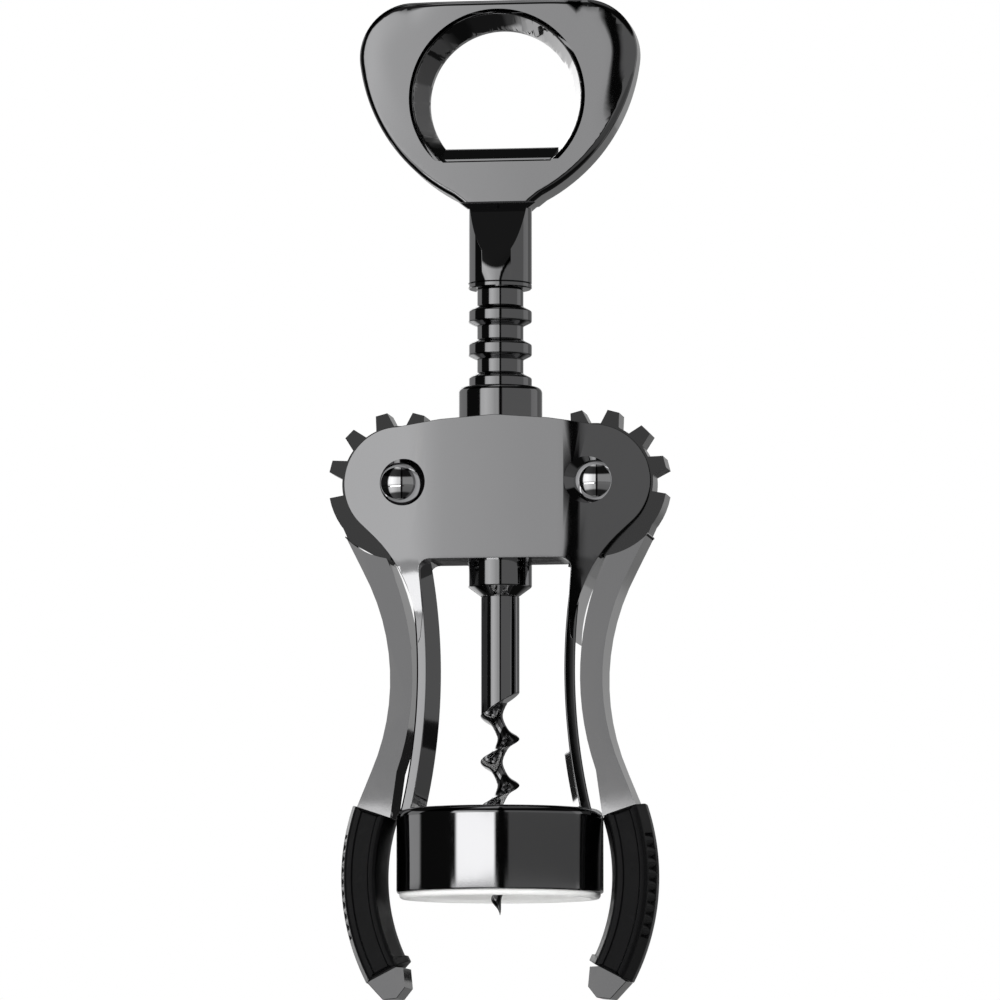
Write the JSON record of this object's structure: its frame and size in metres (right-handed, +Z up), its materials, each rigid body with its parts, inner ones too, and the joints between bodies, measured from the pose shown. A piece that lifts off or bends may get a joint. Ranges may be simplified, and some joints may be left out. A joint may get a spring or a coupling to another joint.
{
  "type": "wing corkscrew",
  "caption": "Corkscrew with a bell frame, ringed rack, geared wing levers with grips, and a turning head that opens crown caps.",
  "frame": {"origin": "on the screw's axis, in the plane of the bell's mouth, where the bottle's neck enters", "axes": "+Z up the screw to the opener head, X from lever to lever, -Y towards the front of the opener head"},
  "size_m": [0.0592, 0.036, 0.175],
  "materials": {
    "black_chrome_frame": "polished black chrome over a casting",
    "black_chrome_head": "polished black chrome over a casting",
    "black_chrome_lever": "polished black chrome over a casting",
    "black_chrome_rack": "black chrome over turned steel",
    "black_chrome_screw": "black chrome over hardened steel",
    "bright_chrome": "bright chrome rivet heads",
    "white_plastic": "satin moulded plastic",
    "black_grip": "satin moulded plastic"
  },
  "bodies": {
    "frame": {"frame": "black_chrome_frame", "bell_liner": "white_plastic", "pivot_pin_left": "bright_chrome", "pivot_pin_right": "bright_chrome"},
    "rack": {"rack_sleeve": "black_chrome_rack", "thrust_washer": "black_chrome_rack"},
    "handle": {"opener_head": "black_chrome_head", "worm": "black_chrome_screw"},
    "lever_left": {"lever_left": "black_chrome_lever", "grip_left": "black_grip"},
    "lever_right": {"lever_right": "black_chrome_lever", "grip_right": "black_grip"}
  },
  "joints": [
    {"name": "rack_slide", "type": "slide", "parent": "frame", "child": "rack", "axis": [0, 0, 1], "range_m": [-0.031, 0]},
    {"name": "handle_turn", "type": "hinge", "parent": "rack", "child": "handle", "pos_m": [0, 0, 0.11], "axis": [0, 0, 1], "continuous": true},
    {"name": "lever_left_swing", "type": "hinge", "parent": "frame", "child": "lever_left", "pos_m": [-0.01716, 0, 0.0724], "axis": [0, 1, 0], "range_deg": [0, 157.63]},
    {"name": "lever_right_swing", "type": "hinge", "parent": "frame", "child": "lever_right", "pos_m": [0.01716, 0, 0.0724], "axis": [0, -1, 0], "range_deg": [0, 157.63]}
  ],
  "couplings": [
    {"joint": "lever_left_swing", "follows": "rack_slide", "rad_per_m": -88.746},
    {"joint": "lever_right_swing", "follows": "rack_slide", "rad_per_m": -88.746}
  ]
}
